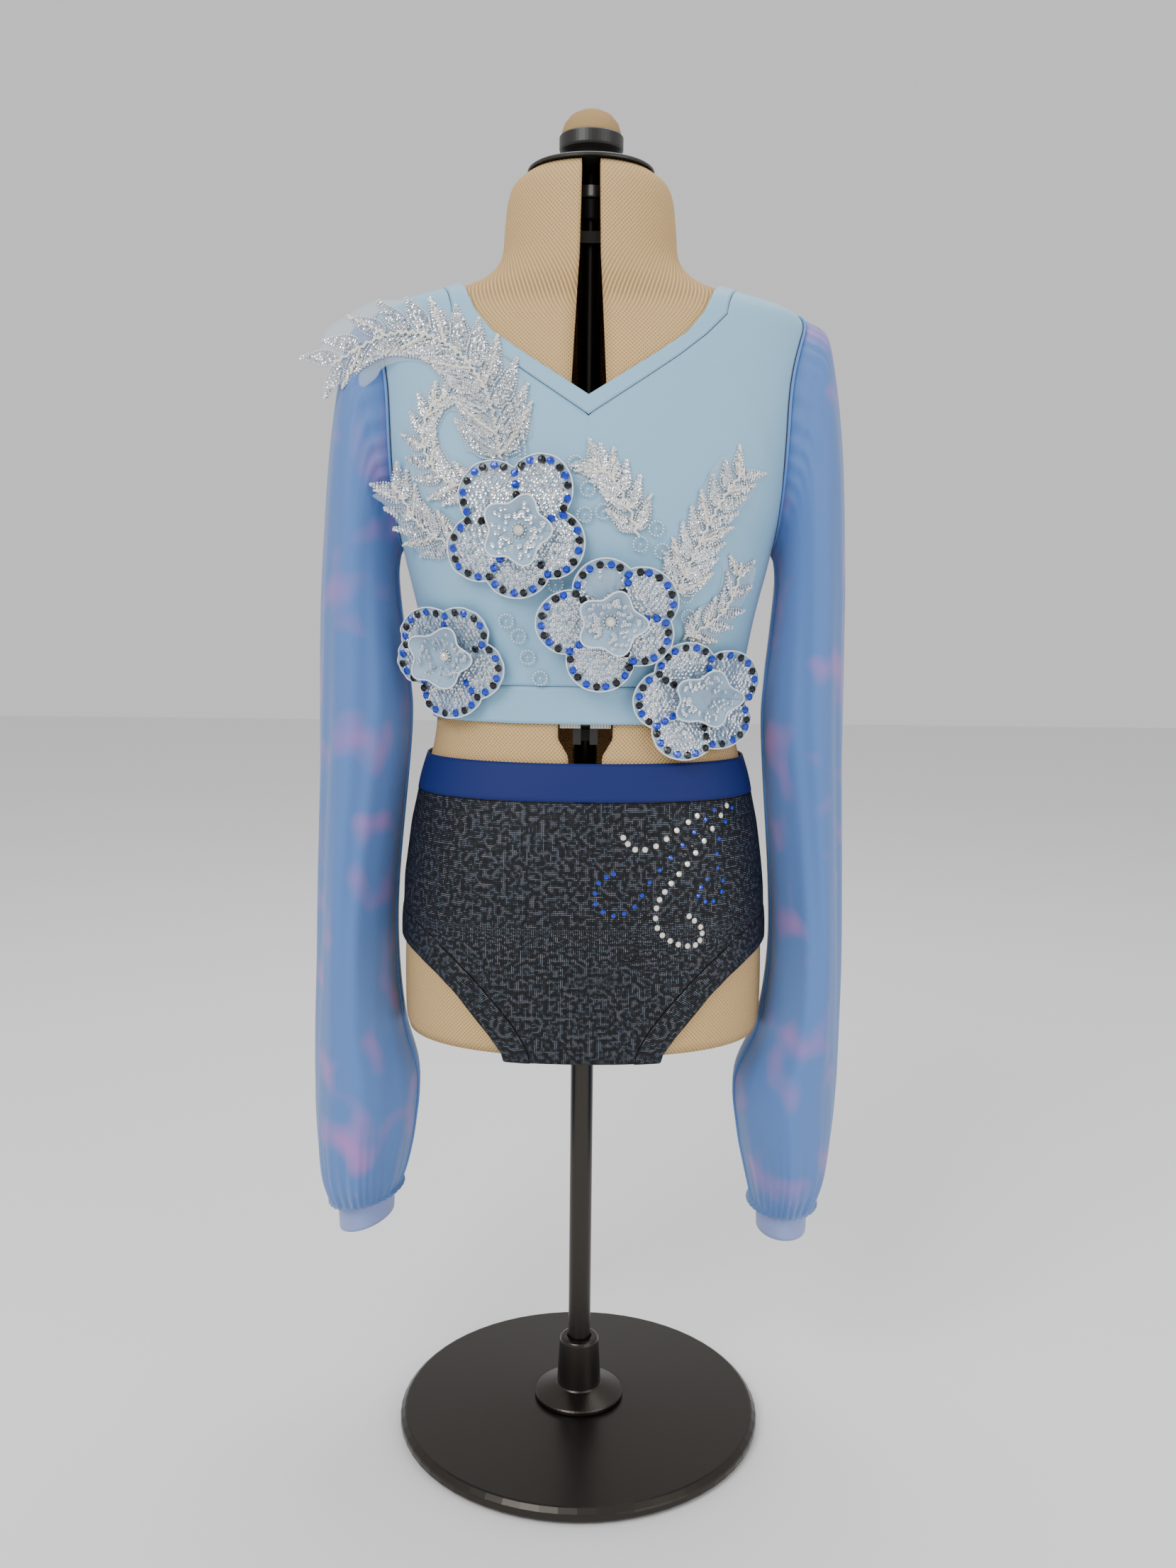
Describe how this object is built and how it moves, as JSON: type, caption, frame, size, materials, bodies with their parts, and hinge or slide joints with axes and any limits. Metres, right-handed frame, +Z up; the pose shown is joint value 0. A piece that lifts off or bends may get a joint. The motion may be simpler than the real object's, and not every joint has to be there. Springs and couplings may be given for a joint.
{
  "type": "two-piece dance costume on a dress form",
  "caption": "Cropped V-neck bodice with sheer long sleeves and beaded flowers, and high-waisted briefs, on a limbless adjustable dress form with a round base.",
  "frame": {"origin": "middle of the base disc's underside", "axes": "+Z up along the pole, the costume's front faces -Y, the viewer's right in the picture is +X"},
  "size_m": [0.391, 0.276, 0.9686],
  "materials": {
    "form_cover": "coarse beige knitted mesh cover",
    "bodice_cloth": "sky-blue stretch knit, soft sheen",
    "binding_cloth": "the same knit doubled, coverstitched",
    "sleeve_mesh": "fine sheer blue knitted mesh",
    "cuff_cloth": "lavender-blue stretch knit",
    "waistband_cloth": "navy stretch knit",
    "brief_cloth": "black stretch knit with silver foil dots",
    "applique": "silver sequins and beads on pale blue tulle",
    "clear_stone": "warm clear cut stone in a cup",
    "black_plastic": "satin black",
    "ring_steel": "satin grey",
    "pole_steel": "dark gunmetal",
    "scale_plastic": "off-white"
  },
  "bodies": {
    "root": {"form_front_left": "form_cover", "form_front_right": "form_cover", "form_back_left": "form_cover", "form_back_right": "form_cover", "pin_cushion": "form_cover", "bodice_front": "bodice_cloth", "bodice_back": "bodice_cloth", "hem_band": "bodice_cloth", "neck_binding_front": "binding_cloth", "neck_binding_back": "binding_cloth", "sleeve_left": "sleeve_mesh", "sleeve_right": "sleeve_mesh", "cuff_left": "cuff_cloth", "cuff_right": "cuff_cloth", "waistband": "waistband_cloth", "brief_front": "brief_cloth", "brief_back": "brief_cloth", "brief_gusset": "brief_cloth", "leg_band_left": "brief_cloth", "leg_band_right": "brief_cloth", "flower_upper": "applique", "flower_centre": "applique", "flower_side": "applique", "flower_lower": "applique", "heart_upper": "applique", "heart_centre": "applique", "heart_side": "applique", "heart_lower": "applique", "spray_shoulder": "applique", "spray_side": "applique", "spray_flank": "applique", "spray_middle": "applique", "spray_wing": "applique", "spray_tail": "applique", "stone_upper": "clear_stone", "stone_centre": "clear_stone", "stone_side": "clear_stone", "neck_cap": "black_plastic", "neck_knob": "black_plastic", "neck_collar": "black_plastic", "dial_fork": "black_plastic", "collar_ring": "ring_steel", "pole": "pole_steel", "base_hub": "pole_steel", "base_disc": "pole_steel", "panel_holder_neck": "pole_steel", "panel_holder_waist": "pole_steel", "panel_holder_hip": "pole_steel", "waist_dial": "pole_steel", "dial_scale_left": "scale_plastic", "dial_scale_right": "scale_plastic"}
  },
  "joints": []
}
